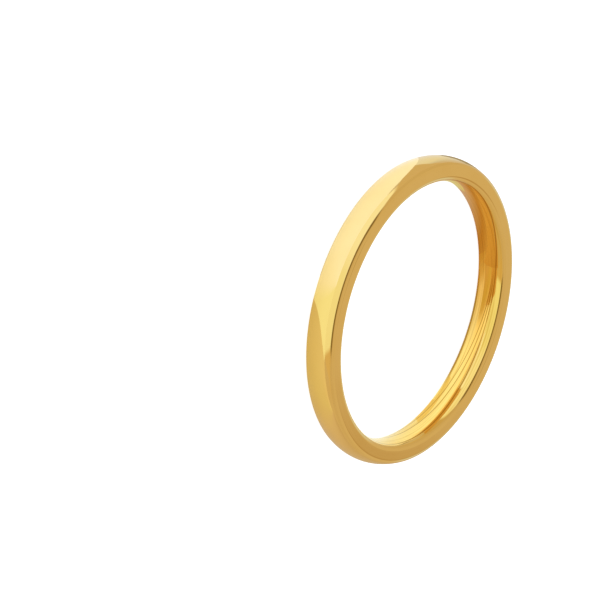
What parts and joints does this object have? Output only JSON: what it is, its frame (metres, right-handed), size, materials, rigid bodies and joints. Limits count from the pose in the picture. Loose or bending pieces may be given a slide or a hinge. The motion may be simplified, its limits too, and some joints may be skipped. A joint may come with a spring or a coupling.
{
  "type": "stackable ring",
  "caption": "Plain polished finger ring: a narrow domed band with a comfort-fit bore, made to be worn stacked with others.",
  "frame": {"origin": "centre of the side face that the ring lies on, on the ring's own axis", "axes": "+Z along the ring's axis, up through the bore as the ring lies on its side; X and Y are any two square directions in its plane"},
  "size_m": [0.0206, 0.0206, 0.0022],
  "materials": {
    "polished_gold": "polished gold-coloured metal, mirror bright, with very fine polishing lines round the band"
  },
  "bodies": {
    "root": {"band": "polished_gold"}
  },
  "joints": []
}
